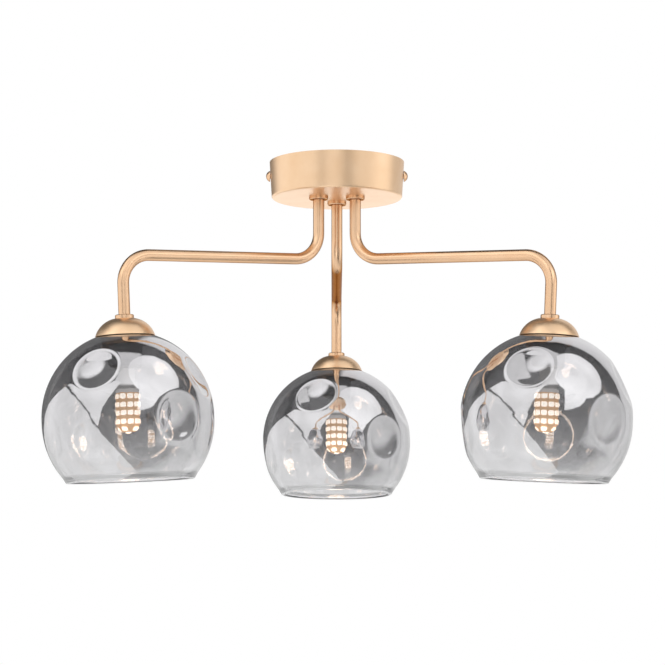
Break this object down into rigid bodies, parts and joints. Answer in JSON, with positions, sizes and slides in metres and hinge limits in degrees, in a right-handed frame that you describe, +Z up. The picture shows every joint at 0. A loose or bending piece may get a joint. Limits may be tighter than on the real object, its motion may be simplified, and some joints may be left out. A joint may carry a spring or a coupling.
{
  "type": "semi flush ceiling light",
  "caption": "Semi flush ceiling light: round metal canopy, bent tube arms and dimpled glass globes, open below, round G9 lamps.",
  "frame": {"origin": "centre of the canopy in the plane of the ceiling", "axes": "+Z up into the ceiling, +X along the ceiling bracket to the right canopy screw, +Y towards the rear arm"},
  "size_m": [0.4998, 0.4523, 0.2942],
  "materials": {
    "copper_plate": "satin",
    "zinc_steel": "satin",
    "smoked_glass": "gloss",
    "ceramic": "matte",
    "silicone": "matte",
    "lamp_plastic": "matte",
    "lamp_board": "gloss",
    "nickel": "gloss",
    "nylon": "matte",
    "brass": "satin",
    "cable": "matte",
    "earth_cable": "matte"
  },
  "bodies": {
    "fixture": {"canopy": "copper_plate", "ceiling_bracket": "zinc_steel", "terminal_block": "nylon", "terminal_inserts": "brass", "terminal_screws": "zinc_steel", "block_screw": "zinc_steel", "earth_screw": "zinc_steel", "earth_wire": "earth_cable", "rear_arm_tube": "copper_plate", "rear_top_collar": "copper_plate", "rear_top_nut": "zinc_steel", "rear_low_collar": "copper_plate", "rear_cup": "copper_plate", "rear_cup_nut": "zinc_steel", "rear_sleeve": "zinc_steel", "rear_gasket": "silicone", "rear_lampholder": "ceramic", "rear_contacts": "nickel", "rear_flex": "cable", "left_arm_tube": "copper_plate", "left_top_collar": "copper_plate", "left_top_nut": "zinc_steel", "left_low_collar": "copper_plate", "left_cup": "copper_plate", "left_cup_nut": "zinc_steel", "left_sleeve": "zinc_steel", "left_gasket": "silicone", "left_lampholder": "ceramic", "left_contacts": "nickel", "left_flex": "cable", "right_arm_tube": "copper_plate", "right_top_collar": "copper_plate", "right_top_nut": "zinc_steel", "right_low_collar": "copper_plate", "right_cup": "copper_plate", "right_cup_nut": "zinc_steel", "right_sleeve": "zinc_steel", "right_gasket": "silicone", "right_lampholder": "ceramic", "right_contacts": "nickel", "right_flex": "cable"},
    "rear_lamp": {"rear_lamp_base": "lamp_plastic", "rear_lamp_pins": "nickel", "rear_lamp_board": "lamp_board"},
    "rear_shade": {"rear_glass_shade": "smoked_glass"},
    "rear_ring": {"rear_shade_ring": "copper_plate"},
    "left_lamp": {"left_lamp_base": "lamp_plastic", "left_lamp_pins": "nickel", "left_lamp_board": "lamp_board"},
    "left_shade": {"left_glass_shade": "smoked_glass"},
    "left_ring": {"left_shade_ring": "copper_plate"},
    "right_lamp": {"right_lamp_base": "lamp_plastic", "right_lamp_pins": "nickel", "right_lamp_board": "lamp_board"},
    "right_shade": {"right_glass_shade": "smoked_glass"},
    "right_ring": {"right_shade_ring": "copper_plate"},
    "left_screw": {"left_canopy_screw": "copper_plate"},
    "right_screw": {"right_canopy_screw": "copper_plate"}
  },
  "joints": [
    {"name": "rear_lamp_pull", "type": "slide", "parent": "fixture", "child": "rear_lamp", "axis": [0, -0.0523, -0.9986], "range_m": [0, 0.11]},
    {"name": "rear_shade_off", "type": "slide", "parent": "fixture", "child": "rear_shade", "axis": [0, -0.0523, -0.9986], "range_m": [0, 0.13]},
    {"name": "rear_ring_turn", "type": "hinge", "parent": "rear_shade", "child": "rear_ring", "pos_m": [0, 0.20786, -0.174], "axis": [0, 0.0523, 0.9986], "continuous": true},
    {"name": "left_lamp_pull", "type": "slide", "parent": "fixture", "child": "left_lamp", "axis": [0.0453, 0.0262, -0.9986], "range_m": [0, 0.11]},
    {"name": "left_shade_off", "type": "slide", "parent": "fixture", "child": "left_shade", "axis": [0.0453, 0.0262, -0.9986], "range_m": [0, 0.13]},
    {"name": "left_ring_turn", "type": "hinge", "parent": "left_shade", "child": "left_ring", "pos_m": [-0.18001, -0.10393, -0.174], "axis": [-0.0453, -0.0262, 0.9986], "continuous": true},
    {"name": "right_lamp_pull", "type": "slide", "parent": "fixture", "child": "right_lamp", "axis": [-0.0453, 0.0262, -0.9986], "range_m": [0, 0.11]},
    {"name": "right_shade_off", "type": "slide", "parent": "fixture", "child": "right_shade", "axis": [-0.0453, 0.0262, -0.9986], "range_m": [0, 0.13]},
    {"name": "right_ring_turn", "type": "hinge", "parent": "right_shade", "child": "right_ring", "pos_m": [0.18001, -0.10393, -0.174], "axis": [0.0453, -0.0262, 0.9986], "continuous": true},
    {"name": "left_screw_turn", "type": "hinge", "parent": "fixture", "child": "left_screw", "pos_m": [-0.06, 0, -0.0125], "axis": [-1, 0, 0], "continuous": true},
    {"name": "right_screw_turn", "type": "hinge", "parent": "fixture", "child": "right_screw", "pos_m": [0.06, 0, -0.0125], "axis": [1, 0, 0], "continuous": true}
  ]
}
